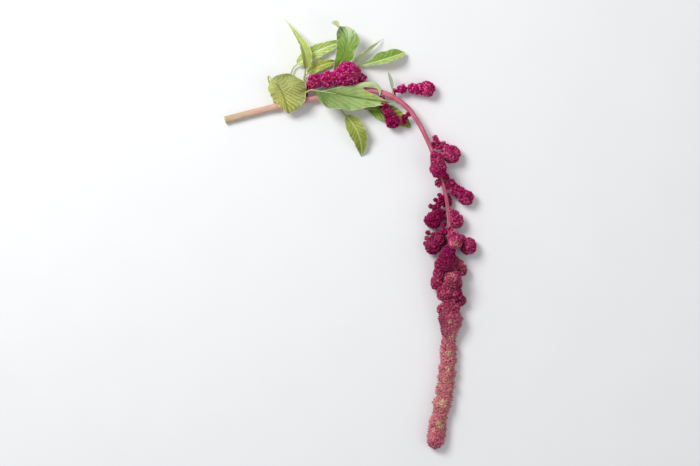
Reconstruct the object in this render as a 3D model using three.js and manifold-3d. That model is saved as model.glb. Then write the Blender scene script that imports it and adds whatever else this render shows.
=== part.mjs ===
// Seed head of trailing amaranth, cut with a length of stem and its top leaves, lying on a flat surface.
// Millimetres, +Z up. The origin is on the surface, under the flat spot where the long tassel rests.
// The tassel trails towards -Y, and the stem runs from its cut end at -X over an arch to the tassel.
// Every piece grows from the stem: short flower spikes, the tassel at its end, leaves and a small bract.
import * as THREE from "three";
import { ParametricGeometry } from "three/addons/geometries/ParametricGeometry.js";
import { mergeVertices } from "three/addons/utils/BufferGeometryUtils.js";
import Module from "manifold-3d";

const wasm = await Module();
wasm.setup();

// Driving dimensions
const GAP = 0.3; // between one piece and the next
const SLIVER = 0.04; // detail below this is left out where one piece is cut back from another
const FLORET_SPACING = 4.7; // from one raised floret to the next corner of the skin, larger than life
const FLORET_RELIEF = 1.5; // how far a floret stands out of the gaps round it
const RING_SHARE = 0.87; // rows of florets lie this share of their spacing apart, as in a honeycomb
const SPIKE_AXIS_RADIUS = 1.5; // of a spike's stalk where it shows between two clusters
const STEM_CUT_RADIUS = 3.8;
const STEM_ARCH_RADIUS = 2.6;
const STEM_END_RADIUS = 1.5;
const STEM_SIDES = 9;
const STEM_RIB = 0.22;
const STEM_STEP = 9;
const JOINT_SWELLING = 0.7; // the stem thickens by this much where a leaf grows
const JOINT_HALF_LENGTH = 5;
const BLADE_THICKNESS = 0.8;
const BLADE_START = 0.005; // shares of a blade's length between which it has its width
const BLADE_END = 0.988;
const TIP_TWIST_POWER = 6; // a high power keeps the extra twist of a leaf in its tip
const PETIOLE_RADIUS = 1.1;
const PETIOLE_SIDES = 6;

const COLOURS = {
  stem: 0xc4798c,
  crimson: 0x8e2a52,
  rose: 0xa2525f,
  leaf: 0x86a04c,
};

// The stem's centre line, from the cut end over the arch and down to where the tassel hides it.
const STEM_POINTS = [
  [-238, 232, 3.8],
  [-200, 242, 4.6],
  [-158, 252, 7],
  [-116, 260, 9.5],
  [-83, 263, 11.5],
  [-62, 257, 12.5],
  [-44, 244, 13],
  [-29, 222, 13],
  [-17, 195, 13],
  [-7.5, 166, 13],
  [-2.5, 144, 13],
  [0, 120, 13.5],
  [1, 96, 13.5],
  [1, 66, 13],
  [1, 36, 10.8],
  [0.6, 12, 8],
];

// The tassel's centre line, which goes on from the stem and rests along the surface.
const TASSEL_POINTS = [
  [1, 22, 9.6],
  [0, 0, 6.3],
  [-1, -18, 6.4],
  [-2.5, -36, 6.4],
  [-3.6, -54, 6.4],
  [-7, -70, 6.4],
  [-10.5, -86, 6.4],
  [-14.5, -108, 6.4],
];
const TASSEL_SHOULDERS = [
  [0, 11],
  [11.5, 9],
  [21, 7.6],
]; // distance along the tassel and radius of its first clusters
const TASSEL_RADIUS = 8;
const TASSEL_BEAD_STEP = 8.6;

// Each flower spike: its foot on the stem [x, y] and its round clusters of flowers [x, y, z, radius], in
// order from the foot to the last and largest.
const SPIKES = [
  {
    foot: [-152, 254],
    clusters: [
      [-148, 266, 13, 4.4], [-142, 272.4, 15, 7.2], [-129.2, 274, 16, 7.6],
      [-119, 275.6, 17, 8], [-107.4, 279.4, 17, 12.6],
    ],
  },
  {
    foot: [-76, 262],
    clusters: [[-72, 254, 11, 3], [-69.2, 247.6, 11, 4.6], [-64, 239, 10.5, 5.6], [-60, 230, 9.5, 7]],
  },
  {
    foot: [-60, 257],
    clusters: [
      [-57.2, 261.8, 10, 3.3], [-50, 264.4, 9.5, 5], [-39, 265, 9, 5.8], [-31, 264.4, 8.6, 6.4],
      [-23.4, 264.6, 8.4, 8.4],
    ],
  },
  {
    foot: [-38, 237],
    clusters: [[-43.4, 237.4, 12, 2.6], [-47.4, 234.4, 11, 3], [-48.4, 229.8, 10, 3.2]],
  },
  {
    foot: [-20, 203],
    clusters: [[-16, 206, 13.5, 2.8], [-13.8, 208.6, 14, 3.3], [-15, 212.8, 15, 2.2]],
  },
  {
    foot: [-19, 201],
    clusters: [[-12, 203, 13, 3], [-7.2, 205, 12, 3.7], [-3.6, 200.4, 10.5, 5.2], [2.4, 195, 9.2, 8.9]],
  },
  {
    foot: [-18, 199],
    clusters: [[-15.8, 194.4, 17, 4], [-13.8, 190.4, 20.4, 6], [-12.8, 184.8, 22, 7], [-12, 178.4, 22, 8.2]],
  },
  { foot: [-15, 190], clusters: [[-13, 186, 7, 4.5], [-12, 181, 6, 5.4]] },
  { foot: [-8, 170], clusters: [[-10, 168, 13, 2.6], [-11.4, 164.4, 13.5, 3.5]] },
  {
    foot: [-6, 172],
    clusters: [
      [-3.6, 170.4, 13, 2.9], [0.8, 163.8, 12, 4.5], [6, 157.6, 10.6, 5.3], [11.6, 154.4, 9, 5.6],
      [18, 149.4, 8, 7.3],
    ],
  },
  { foot: [-4, 152], clusters: [[-3, 150, 8, 4.2], [-2, 145, 6, 5]] },
  {
    foot: [-3.5, 150],
    clusters: [
      [-8.6, 149.4, 13, 2.4], [-10, 143.4, 12.4, 3.5], [-13.4, 138.2, 11.5, 4.3], [-11.8, 132.2, 10.6, 5.4],
      [-17, 125.4, 9.2, 8.4],
    ],
  },
  { foot: [-1, 137], clusters: [[2, 134.5, 12.5, 3.4], [5, 130.6, 11, 5.2], [7.8, 124.4, 9.4, 6.9]] },
  { foot: [0, 118], clusters: [[1, 115, 17, 3.6], [3, 109, 21, 5], [5.5, 102.4, 23, 6.6]] },
  { foot: [0, 120], clusters: [[-6, 113, 13, 4], [-9.6, 105, 11, 6], [-17, 98, 9.4, 8]] },
  { foot: [1, 114], clusters: [[6, 109.4, 12, 3.8], [12, 104.4, 10.6, 5.5], [20.2, 98, 9, 8.2]] },
  { foot: [1, 106], clusters: [[1, 104, 8.5, 4], [0.5, 98, 6.4, 6]] },
  { foot: [1, 98], clusters: [[0, 94, 17, 5.4], [-1.4, 89, 20, 7.4], [-3, 82, 21.6, 9.8]] },
  { foot: [1, 92], clusters: [[-4, 86, 13, 5], [-8.4, 78, 13.4, 7], [-9.6, 69, 12, 7]] },
  { foot: [1, 88], clusters: [[6, 83, 12.4, 4.2], [10, 78.6, 10.8, 5], [12.8, 72.6, 9.4, 5.9]] },
  { foot: [1, 80], clusters: [[1, 77, 8, 4.6], [2, 71, 6.4, 6]] },
  { foot: [1, 74], clusters: [[2, 71, 18, 5.4], [3.2, 63.6, 21, 8.4]] },
  { foot: [1, 72], clusters: [[-5, 66, 11, 4.6], [-12.4, 59.6, 8.4, 6.9]] },
  { foot: [1, 60], clusters: [[-2, 55, 16, 5.4], [-5.4, 48.6, 16.4, 7.7]] },
  { foot: [1, 58], clusters: [[4, 54.6, 14.6, 5], [6.4, 48.4, 14, 7]] },
  { foot: [1, 52], clusters: [[6, 47, 11, 4.4], [12, 40.2, 7.6, 5.6]] },
  { foot: [1, 44], clusters: [[-0.5, 39, 15, 5.4], [-0.8, 32.4, 13.4, 8]] },
];

// Each leaf: its joint on the stem [x, y], the four control points of its midrib from foot to point, the
// two halves of its blade left and right of the midrib, each with its width and the powers with which it
// widens from the foot and narrows to the point, its turn about the midrib at foot and point with the
// extra twist of its tip, its fold along the midrib and its waved edge.
const LEAVES = [
  {
    name: "leaf_01", joint: [-150, 254],
    midrib: [[-150, 281, 5], [-143, 288, 8], [-133, 292, 7], [-118, 295, 0.5]],
    halves: [[5.6, 0.6, 0.8], [5.6, 0.6, 0.8]], turn: [-6, 8], fold: 12, wave: 1,
  },
  {
    name: "leaf_02", joint: [-176, 248],
    midrib: [[-161, 291, 6], [-150, 300, 11], [-133, 310, 9], [-111, 316, 0.6]],
    halves: [[7.4, 0.5, 0.7], [7.4, 0.5, 0.7]], turn: [-8, 10], fold: 14, wave: 1.2,
  },
  {
    name: "leaf_03", joint: [-158, 252],
    midrib: [[-152, 286, 15], [-148, 302, 25], [-161, 319, 22], [-175, 341, 1.2]],
    halves: [[7.4, 0.5, 1.3], [7.4, 0.5, 1.3]], turn: [30, 60], fold: 24, wave: 0.8,
  },
  {
    name: "leaf_04", joint: [-184, 246],
    midrib: [[-188, 275, 12], [-179, 269, 17], [-173, 254, 17], [-170, 238, 11]],
    halves: [[26, 1, 0.8], [12.5, 0.5, 0.8]], turn: [-4, 4], fold: 8, wave: 2,
  },
  {
    name: "leaf_05", joint: [-134, 257],
    midrib: [[-122, 280, 9], [-110, 298, 22], [-99, 325, 28], [-126, 330, 20]],
    halves: [[10, 0.7, 0.65], [15, 1.6, 1.7]], turn: [8, -12, 200], fold: 22, wave: 1.8,
  },
  {
    name: "leaf_06", joint: [-168, 250],
    midrib: [[-141, 262, 19], [-117, 259, 21], [-90, 252, 17], [-53, 249, 12]],
    halves: [[11.6, 2.4, 2.4], [18, 0.65, 1.5]], turn: [-14, -4], fold: 10, wave: 1.8,
  },
  {
    name: "leaf_07", joint: [-112, 261],
    midrib: [[-107, 287, 8], [-98, 299, 14], [-85, 308, 12], [-69, 319, 1]],
    halves: [[5, 0.45, 1.1], [5, 0.45, 1.1]], turn: [66, 62], fold: 20, wave: 0.8,
  },
  {
    name: "leaf_08", joint: [-100, 263],
    midrib: [[-101, 288, 4], [-83, 291, 10], [-65, 296, 12], [-46, 304, 5]],
    halves: [[9.2, 2.6, 1], [8.6, 2.2, 0.9]], turn: [-32, -24], fold: 28, wave: 1.2,
  },
  {
    name: "leaf_09", joint: [-124, 259],
    midrib: [[-109, 236, 6], [-97, 224, 15], [-92, 210, 13], [-93, 193, 0.6]],
    halves: [[9.4, 0.55, 0.9], [9.4, 0.55, 0.9]], turn: [18, -10], fold: 16, wave: 1.4,
  },
  {
    name: "leaf_10", joint: [-96, 263],
    midrib: [[-86, 244, 3], [-69, 242, 5], [-53, 236, 4], [-40, 224, 0.4]],
    halves: [[9.4, 0.6, 0.8], [9.4, 0.6, 0.8]], turn: [4, -6], fold: 8, wave: 1,
  },
  {
    name: "bract_01", joint: [-61, 257],
    midrib: [[-60, 263, 16], [-61, 270, 19], [-63, 277, 17], [-64.5, 283, 10]],
    halves: [[2.5, 0.7, 0.8], [2.5, 0.7, 0.8]], turn: [30, 40], fold: 10, wave: 0,
  },
];

const vector = (p) => new THREE.Vector3(...p);

// A repeatable value from 0 to 1 for a corner of a skin, so that no two florets are quite alike.
function scatter(i, j, k = 0) {
  const s = Math.sin(i * 12.9898 + j * 78.233 + k * 37.719) * 43758.5453;
  return s - Math.floor(s);
}

// A closed three.js geometry as a solid: seams merged, and the triangles that collapse at a pole dropped.
function solidOf(geometry) {
  const bare = geometry.clone();
  bare.deleteAttribute("normal");
  bare.deleteAttribute("uv");
  const merged = mergeVertices(bare, 1e-3);
  const corners = [];
  for (let i = 0; i < merged.index.count; i += 3) {
    const [a, b, c] = [0, 1, 2].map((k) => merged.index.getX(i + k));
    if (a !== b && b !== c && a !== c) corners.push(a, b, c);
  }
  const mesh = new wasm.Mesh({
    numProp: 3,
    vertProperties: merged.attributes.position.array,
    triVerts: new Uint32Array(corners),
  });
  const solid = new wasm.Manifold(mesh);
  return solid.volume() > 0 ? solid : turnedOut(mesh);
}

// The same solid with each triangle turned round.
function turnedOut(mesh) {
  const turned = mesh.triVerts.slice();
  for (let i = 0; i < turned.length; i += 3) [turned[i + 1], turned[i + 2]] = [turned[i + 2], turned[i + 1]];
  return new wasm.Manifold(
    new wasm.Mesh({ numProp: 3, vertProperties: mesh.vertProperties, triVerts: turned }),
  );
}

function largestBody(solid) {
  return solid.decompose().reduce((best, body) => (body.volume() > best.volume() ? body : best));
}

function boxesMeet(a, b) {
  const [first, second] = [a.boundingBox(), b.boundingBox()];
  return [0, 1, 2].every((k) => first.min[k] < second.max[k] && second.min[k] < first.max[k]);
}

function geometryOf(solid, place) {
  const { vertProperties, triVerts } = solid.getMesh();
  const geometry = new THREE.BufferGeometry();
  geometry.setAttribute("position", new THREE.BufferAttribute(vertProperties, 3));
  geometry.setIndex(new THREE.BufferAttribute(triVerts, 1));
  geometry.translate(-place.x, -place.y, -place.z);
  geometry.computeVertexNormals();
  return geometry;
}

// A centre line that runs on straight past both ends, with two directions square to it at each distance.
function spineOf(points) {
  const curve = new THREE.CatmullRomCurve3(points.map(vector), false, "centripetal");
  curve.arcLengthDivisions = 400;
  const length = curve.getLength();
  const whole = vector(points.at(-1)).sub(vector(points[0])).normalize();
  const reference = Math.abs(whole.z) > 0.8 ? new THREE.Vector3(0, 1, 0) : new THREE.Vector3(0, 0, 1);
  const at = (distance) => {
    const share = THREE.MathUtils.clamp(distance / length, 0, 1);
    const along = curve.getTangentAt(share);
    const point = curve.getPointAt(share).addScaledVector(along, distance - share * length);
    const side = along.clone().cross(reference).normalize();
    return { point, along, side, up: side.clone().cross(along) };
  };
  return { length, at };
}

// The skin round a spine. Stations are [distance, radius] pairs, and shape(row, corner) adds to the radius.
function skin(spine, stations, sides, shape) {
  const corner = (u, v, target) => {
    const j = Math.round(u * sides);
    const i = Math.round(v * (stations.length - 1));
    const [distance, radius] = stations[i];
    const angle = (2 * Math.PI * (j % sides)) / sides;
    const { point, side, up } = spine.at(distance);
    const out = radius > 0 ? radius + shape(i, j % sides, radius) : 0;
    target.copy(point);
    target.addScaledVector(side, out * Math.cos(angle));
    target.addScaledVector(up, out * Math.sin(angle));
  };
  return solidOf(new ParametricGeometry(corner, sides, stations.length - 1));
}

// The outline of a chain of round clusters on a thin axis, as evenly spaced stations: at each distance it
// is the widest of the circles there, or the axis between two clusters that don't meet.
function beadStations(beads, step) {
  const from = beads[0][0] - beads[0][1];
  const to = Math.max(...beads.map(([centre, radius]) => centre + radius));
  const fine = 120;
  const points = [];
  for (let i = 0; i <= fine; i++) {
    const distance = from + ((to - from) * i) / fine;
    const circles = beads.map(([centre, radius]) => radius ** 2 - (distance - centre) ** 2);
    const widest = Math.sqrt(Math.max(0, ...circles));
    points.push(new THREE.Vector2(distance, i % fine === 0 ? 0 : Math.max(SPIKE_AXIS_RADIUS, widest)));
  }
  const outline = new THREE.Path(points);
  const rows = Math.max(4, Math.round(outline.getLength() / step));
  return outline.getSpacedPoints(rows).map((p) => [p.x, p.y]);
}

// A body of flower clusters. Every third corner of its skin is a floret that stands out of the others,
// in a honeycomb: each floret has six lower corners round it.
function flowers(spine, beads, swell, seed) {
  const widest = Math.max(...beads.map(([, radius]) => radius));
  const sides = 3 * Math.max(2, Math.round((2 * Math.PI * widest) / (3 * FLORET_SPACING)));
  const relief = (i, j, radius) => {
    const raised = (((j - i) % 3) + 3) % 3 === 0;
    const most = Math.min(FLORET_RELIEF, radius * 0.5);
    return swell + most * (raised ? 0.45 + 0.3 * scatter(i, j, seed) : -0.45);
  };
  return skin(spine, beadStations(beads, FLORET_SPACING * RING_SHARE), sides, relief);
}

// Stem

const stemSpine = spineOf(STEM_POINTS);

// The distance along a spine of its place nearest to a point, or to [x, y] seen from above.
function nearestDistance(spine, { x, y, z }) {
  const steps = Math.ceil(Math.min(600, spine.length * 4));
  let best = { gap: Infinity, distance: 0 };
  for (let i = 0; i <= steps; i++) {
    const distance = (spine.length * i) / steps;
    const { point } = spine.at(distance);
    const gap = Math.hypot(point.x - x, point.y - y, z === undefined ? 0 : point.z - z);
    if (gap < best.gap) best = { gap, distance };
  }
  return best.distance;
}

const stemDistance = ([x, y]) => nearestDistance(stemSpine, { x, y });
const archDistance = stemDistance(STEM_POINTS[5]);
const jointDistances = LEAVES.map((leaf) => stemDistance(leaf.joint));

function stemRadius(distance) {
  const stiff = Math.min(1, distance / archDistance);
  const trailing = Math.max(0, (distance - archDistance) / (stemSpine.length - archDistance));
  const plain =
    STEM_CUT_RADIUS +
    (STEM_ARCH_RADIUS - STEM_CUT_RADIUS) * stiff +
    (STEM_END_RADIUS - STEM_ARCH_RADIUS) * trailing;
  const nearest = Math.min(...jointDistances.map((joint) => Math.abs(joint - distance)));
  return plain + JOINT_SWELLING * Math.max(0, 1 - nearest / JOINT_HALF_LENGTH);
}

function stemSolid(swell) {
  const rows = Math.round(stemSpine.length / STEM_STEP);
  const stations = [[-swell, 0]];
  for (let i = 0; i <= rows; i++) {
    const distance = (stemSpine.length * i) / rows;
    stations.push([distance + (i === 0 ? -swell : i === rows ? swell : 0), stemRadius(distance)]);
  }
  stations.push([stemSpine.length + swell, 0]);
  return skin(stemSpine, stations, STEM_SIDES, (i, j) => swell + (j % 3 === 0 ? STEM_RIB : 0));
}

// Tassel

const tasselSpine = spineOf(TASSEL_POINTS);

function tasselSolid(swell) {
  const beads = TASSEL_SHOULDERS.map((bead) => [...bead]);
  while (beads.at(-1)[0] + TASSEL_BEAD_STEP < tasselSpine.length) {
    const radius = TASSEL_RADIUS * (0.95 + 0.14 * scatter(beads.length, 1));
    beads.push([beads.at(-1)[0] + TASSEL_BEAD_STEP, radius]);
  }
  return flowers(tasselSpine, beads, swell, 0);
}

// Flower spikes

// The clusters are carried on a line from the stem through all their middles.
function spikeChain({ foot, clusters }) {
  const { point } = stemSpine.at(stemDistance(foot));
  const spine = spineOf([point.toArray(), ...clusters.map((cluster) => cluster.slice(0, 3))]);
  const beads = clusters.map((cluster) => [nearestDistance(spine, vector(cluster.slice(0, 3))), cluster[3]]);
  return { spine, beads };
}

// Leaves

// The width of one half of the blade at a share of its length: one power of the way from the foot times
// another of the way left to the point, over the most that their product comes to.
function halfWidth(leaf, share, across) {
  const [width, rise, fall] = leaf.halves[across > 0 ? 0 : 1];
  const most = (rise ** rise * fall ** fall) / (rise + fall) ** (rise + fall);
  return (width * share ** rise * (1 - share) ** fall) / most;
}

// The point of the blade at a share of its length and a share of its width, -1 to 1.
function bladePoint(leaf, along, across) {
  const midrib = new THREE.CubicBezierCurve3(...leaf.midrib.map(vector));
  const tangent = midrib.getTangent(along);
  const side = new THREE.Vector3(0, 0, 1).cross(tangent).normalize();
  const up = tangent.clone().cross(side);
  const [atFoot, atPoint, twist = 0] = leaf.turn;
  const degrees = atFoot + (atPoint - atFoot) * along + twist * along ** TIP_TWIST_POWER;
  const turn = THREE.MathUtils.degToRad(degrees);
  const fold = THREE.MathUtils.degToRad(leaf.fold);
  const half = halfWidth(leaf, along, across);
  const width = leaf.halves[0][0] + leaf.halves[1][0];
  const reach = half * across * Math.cos(fold);
  const waves = Math.sin(along * 16 + (across > 0 ? 0 : 2));
  const wave = leaf.wave * across * across * waves * (half / width);
  const lift = half * Math.abs(across) * Math.sin(fold) + 2 * wave;
  const place = midrib.getPoint(along);
  place.addScaledVector(side, reach * Math.cos(turn) - lift * Math.sin(turn));
  place.addScaledVector(up, reach * Math.sin(turn) + lift * Math.cos(turn));
  return place;
}

// A thin closed blade: one grid for its upper face, the same grid set off along the normal for its lower
// one, split into triangles alike, and a strip round the edge.
function bladeSolid(leaf, swell) {
  const rows = leaf.wave > 0 ? 9 : 5;
  const columns = leaf.wave > 0 ? 4 : 2;
  const upper = [];
  const lower = [];
  for (let i = 0; i <= rows; i++) {
    for (let j = 0; j <= columns; j++) {
      const along = BLADE_START + (BLADE_END - BLADE_START) * (i / rows);
      const across = (2 * j) / columns - 1;
      const nudge = 0.02;
      const inner = THREE.MathUtils.clamp(along, nudge, 1 - nudge);
      const ahead = bladePoint(leaf, inner + nudge, across).sub(bladePoint(leaf, inner - nudge, across));
      const sideways = bladePoint(leaf, inner, across + nudge).sub(bladePoint(leaf, inner, across - nudge));
      const normal = ahead.clone().cross(sideways).normalize();
      const place = bladePoint(leaf, along, across);
      if (j % columns === 0) place.addScaledVector(sideways.normalize(), swell * across);
      if (i % rows === 0) place.addScaledVector(ahead.normalize(), i === 0 ? -swell : swell);
      upper.push(place.clone().addScaledVector(normal, BLADE_THICKNESS / 2 + swell));
      lower.push(place.clone().addScaledVector(normal, -BLADE_THICKNESS / 2 - swell));
    }
  }
  const wide = columns + 1;
  const last = rows * wide;
  const triangles = [];
  const quad = (a, b, c, d) => triangles.push(a, b, d, b, c, d);
  const count = upper.length;
  for (let i = 0; i < rows; i++) {
    for (let j = 0; j < columns; j++) {
      const a = i * wide + j;
      quad(a, a + wide, a + wide + 1, a + 1);
      const b = a + count;
      triangles.push(b, b + 1, b + wide, b + wide, b + 1, b + wide + 1);
    }
    const left = i * wide;
    const right = left + columns;
    quad(left, left + count, left + wide + count, left + wide);
    quad(right, right + wide, right + wide + count, right + count);
  }
  for (let j = 0; j < columns; j++) {
    quad(j, j + 1, j + 1 + count, j + count);
    quad(last + j, last + j + count, last + j + 1 + count, last + j + 1);
  }
  const geometry = new THREE.BufferGeometry();
  const corners = [...upper, ...lower].flatMap((p) => p.toArray());
  geometry.setAttribute("position", new THREE.Float32BufferAttribute(corners, 3));
  geometry.setIndex(triangles);
  return solidOf(geometry);
}

// The stalk, from the stem to the blade and on along its midrib.
function stalkSolid(leaf, swell) {
  const { point } = stemSpine.at(stemDistance(leaf.joint));
  const foot = vector(leaf.midrib[0]);
  const into = bladePoint(leaf, 0.16, 0);
  const before = foot.clone().addScaledVector(into.clone().sub(foot).normalize(), -5);
  const small = leaf.wave > 0 ? 1 : 0.6;
  const path = [point, before, foot, into, bladePoint(leaf, 0.42, 0)].map((p) => p.toArray());
  const spine = spineOf(path);
  const rows = Math.max(5, Math.round(spine.length / 8));
  const stations = [[-swell, 0]];
  for (let i = 0; i <= rows; i++) {
    const share = i / rows;
    const radius = small * PETIOLE_RADIUS * (1 - 0.45 * share);
    stations.push([spine.length * share + (i === rows ? swell : 0), radius]);
  }
  stations.push([spine.length + swell, 0]);
  return skin(spine, stations, PETIOLE_SIDES, () => swell);
}

const leafSolid = (leaf, swell) => bladeSolid(leaf, swell).add(stalkSolid(leaf, swell));

// Assembly: the stem comes first, and each later piece is cut back from those that it meets.

const SURFACE_SIDE = 900;
const belowSurface = solidOf(new THREE.BoxGeometry(SURFACE_SIDE, SURFACE_SIDE, 60).translate(0, 0, -30));
const plant = new THREE.Group();
const placed = [];

function grow(name, build, colour, place) {
  let solid = build(0).subtract(belowSurface);
  for (const swollen of placed) {
    if (boxesMeet(solid, swollen)) solid = solid.subtract(swollen);
  }
  solid = largestBody(solid.simplify(SLIVER));
  placed.push(build(GAP));
  const material = new THREE.MeshStandardMaterial({ color: colour, roughness: 0.7, metalness: 0 });
  const mesh = new THREE.Mesh(geometryOf(solid, place), material);
  mesh.name = name;
  mesh.position.copy(place);
  plant.add(mesh);
}

grow("stem", stemSolid, COLOURS.stem, vector(STEM_POINTS[0]));
grow("tassel", tasselSolid, COLOURS.rose, vector(TASSEL_POINTS[0]));
for (const leaf of LEAVES) {
  const place = stemSpine.at(stemDistance(leaf.joint)).point;
  grow(leaf.name, (swell) => leafSolid(leaf, swell), COLOURS.leaf, place);
}
SPIKES.forEach((spike, k) => {
  const name = `spike_${String(k + 1).padStart(2, "0")}`;
  const place = stemSpine.at(stemDistance(spike.foot)).point;
  const { spine, beads } = spikeChain(spike);
  grow(name, (swell) => flowers(spine, beads, swell, k + 1), COLOURS.crimson, place);
});

export default plant;
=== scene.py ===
import bpy
import numpy as np
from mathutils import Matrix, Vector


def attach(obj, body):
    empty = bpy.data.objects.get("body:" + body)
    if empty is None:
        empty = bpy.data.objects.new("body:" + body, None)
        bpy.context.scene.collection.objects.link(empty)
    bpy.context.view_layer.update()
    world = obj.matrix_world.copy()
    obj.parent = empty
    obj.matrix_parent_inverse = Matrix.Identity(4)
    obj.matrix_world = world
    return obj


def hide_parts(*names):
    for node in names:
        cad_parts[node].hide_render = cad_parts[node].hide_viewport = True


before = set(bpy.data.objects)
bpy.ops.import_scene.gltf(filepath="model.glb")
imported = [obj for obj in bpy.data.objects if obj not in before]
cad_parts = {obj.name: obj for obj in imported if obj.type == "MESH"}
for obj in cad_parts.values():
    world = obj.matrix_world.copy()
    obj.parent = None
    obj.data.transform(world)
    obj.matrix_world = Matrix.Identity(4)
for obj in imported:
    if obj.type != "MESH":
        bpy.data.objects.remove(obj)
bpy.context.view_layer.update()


# Stem. One fleshy stem of trailing amaranth, cut across at its lower end, that arches over and ends inside the
# long tassel. It grew as a round rod with shallow ribs and swells where a leaf joins. It is straw pale where it
# was shaded, rose where it had sun and deep rose among the flowers.

# Sizes are in millimetres, and no corner of the plant lies lower over the surface than LEAST_HEIGHT.
MM = 0.001
LEAST_HEIGHT = 0.05
STEM_POINTS = np.array([
    [-238, 232, 3.8],
    [-200, 242, 4.6],
    [-158, 252, 7],
    [-116, 260, 9.5],
    [-83, 263, 11.5],
    [-62, 257, 12.5],
    [-44, 244, 13],
    [-29, 222, 13],
    [-17, 195, 13],
    [-7.5, 166, 13],
    [-2.5, 144, 13],
    [0, 120, 13.5],
    [1, 96, 13.5],
    [1, 66, 13],
    [1, 36, 10.8],
    [0.6, 12, 8],
])
STEM_CUT_RADIUS = 3.8
STEM_ARCH_RADIUS = 2.6
STEM_END_RADIUS = 1.5
STEM_SIDES = 40
ARCH_POINT = 5
RIB_COUNT = 7
RIB_HEIGHT = 0.2
UNEVENNESS = 0.1
JOINT_SWELLING = 0.7
JOINT_REACH = 5
LEAF_JOINTS = {
    "leaf_01": [-150, 254], "leaf_02": [-176, 248], "leaf_03": [-158, 252], "leaf_04": [-184, 246],
    "leaf_05": [-134, 257], "leaf_06": [-168, 250], "leaf_07": [-112, 261], "leaf_08": [-100, 263],
    "leaf_09": [-124, 259], "leaf_10": [-96, 263], "bract_01": [-61, 257],
}


def run_along(line):
    """The distance of each point of a line from its start."""
    return np.concatenate([[0], np.cumsum(np.linalg.norm(np.diff(line, axis=0), axis=1))])


def smooth_line(points, step):
    """A line that passes smoothly through the points, sampled at even steps of its length.
    Between two points it is a cubic whose slope at each end follows the two neighbours, and the pace between
    points goes with the square root of their distance. Beyond each end a mirrored point stands in."""
    points = np.asarray(points, float)
    p = np.vstack([2 * points[0] - points[1], points, 2 * points[-1] - points[-2]])
    pace = np.sqrt(np.linalg.norm(np.diff(p, axis=0), axis=1))[:, None]
    d0, d1, d2 = pace[:-2], pace[1:-1], pace[2:]
    a, b, c, d = p[:-3], p[1:-2], p[2:-1], p[3:]
    slope_b = ((b - a) / d0 - (c - a) / (d0 + d1) + (c - b) / d1) * d1
    slope_c = ((c - b) / d1 - (d - b) / (d1 + d2) + (d - c) / d2) * d1
    t = np.linspace(0, 1, 50, endpoint=False)[None, :, None]
    b, c, slope_b, slope_c = (x[:, None, :] for x in (b, c, slope_b, slope_c))
    cubic = b + slope_b * t + (3 * (c - b) - 2 * slope_b - slope_c) * t**2 + (2 * (b - c) + slope_b + slope_c) * t**3
    line = np.vstack([cubic.reshape(-1, 3), points[-1:]])
    run = run_along(line)
    at = np.linspace(0, run[-1], max(2, int(round(run[-1] / step)) + 1))
    return np.stack([np.interp(at, run, line[:, k]) for k in range(3)], axis=1)


def directions(line):
    """For each point of a line: along it, level to its right, and square to both, which is mostly up."""
    along = np.gradient(line, axis=0)
    along /= np.linalg.norm(along, axis=1, keepdims=True)
    whole = line[-1] - line[0]
    steep = abs(whole[2]) > 0.8 * np.linalg.norm(whole)
    side = np.cross(along, [0.0, 1, 0] if steep else [0.0, 0, 1])
    side /= np.linalg.norm(side, axis=1, keepdims=True)
    return along, side, np.cross(side, along)


def tube(line, radius, sides):
    """A closed round body about a line. A corner is the line's point plus its radius times the cosine of its
    angle to the right and the sine upward, and a point in the middle closes each end. radius is one number
    for each point of the line, or a table of points by angles. Also gives the angle and distance of each corner."""
    rows = len(line)
    angle = np.linspace(0, 2 * np.pi, sides, endpoint=False)
    radius = np.broadcast_to(np.asarray(radius, float).reshape(rows, -1), (rows, sides))
    _, side, up = directions(line)
    ring = np.cos(angle)[None, :, None] * side[:, None] + np.sin(angle)[None, :, None] * up[:, None]
    corners = (line[:, None] + radius[:, :, None] * ring).reshape(-1, 3)
    i, j = np.meshgrid(np.arange(rows - 1), np.arange(sides), indexing="ij")
    here, across = i * sides + j, i * sides + (j + 1) % sides
    walls = np.stack([here, here + sides, across + sides, here, across + sides, across], axis=-1).reshape(-1, 3)
    j = np.arange(sides)
    first, last = rows * sides, rows * sides + 1
    start = np.stack([np.full(sides, first), j, (j + 1) % sides], axis=1)
    end = np.stack([np.full(sides, last), (rows - 1) * sides + (j + 1) % sides, (rows - 1) * sides + j], axis=1)
    corners = np.vstack([corners, line[:1], line[-1:]])
    distance = run_along(line)
    turn = np.concatenate([np.tile(angle, rows), [0, 0]])
    far = np.concatenate([np.repeat(distance, sides), [0, distance[-1]]])
    return corners, np.vstack([walls, start, end]), turn, far


def joined(shells):
    """Several closed shells as one: their corners one after another, and their triangles counted on."""
    offsets = np.cumsum([0] + [len(s[0]) for s in shells[:-1]])
    return np.vstack([s[0] for s in shells]), np.vstack([s[1] + o for s, o in zip(shells, offsets)])


def grown_piece(name, corners, triangles, material, slot, **marks):
    """One piece of the plant from corners in millimetres. Each mark is a number or a place for every corner,
    which the material reads. It stands for the CAD node of the same name and rides with the plant."""
    mesh = bpy.data.meshes.new(name)
    mesh.from_pydata((corners * MM).tolist(), [], triangles.tolist())
    mesh.polygons.foreach_set("use_smooth", np.ones(len(triangles), bool))
    for mark, values in marks.items():
        values = np.asarray(values, np.float32)
        flat = values.ndim == 1
        attribute = mesh.attributes.new(mark, "FLOAT" if flat else "FLOAT_VECTOR", "POINT")
        attribute.data.foreach_set("value" if flat else "vector", values.ravel())
    mesh.materials.append(material)
    mesh.update()
    piece = bpy.data.objects.new(name + "_grown", mesh)
    bpy.context.scene.collection.objects.link(piece)
    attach(piece, "root")
    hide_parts(name)


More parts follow.
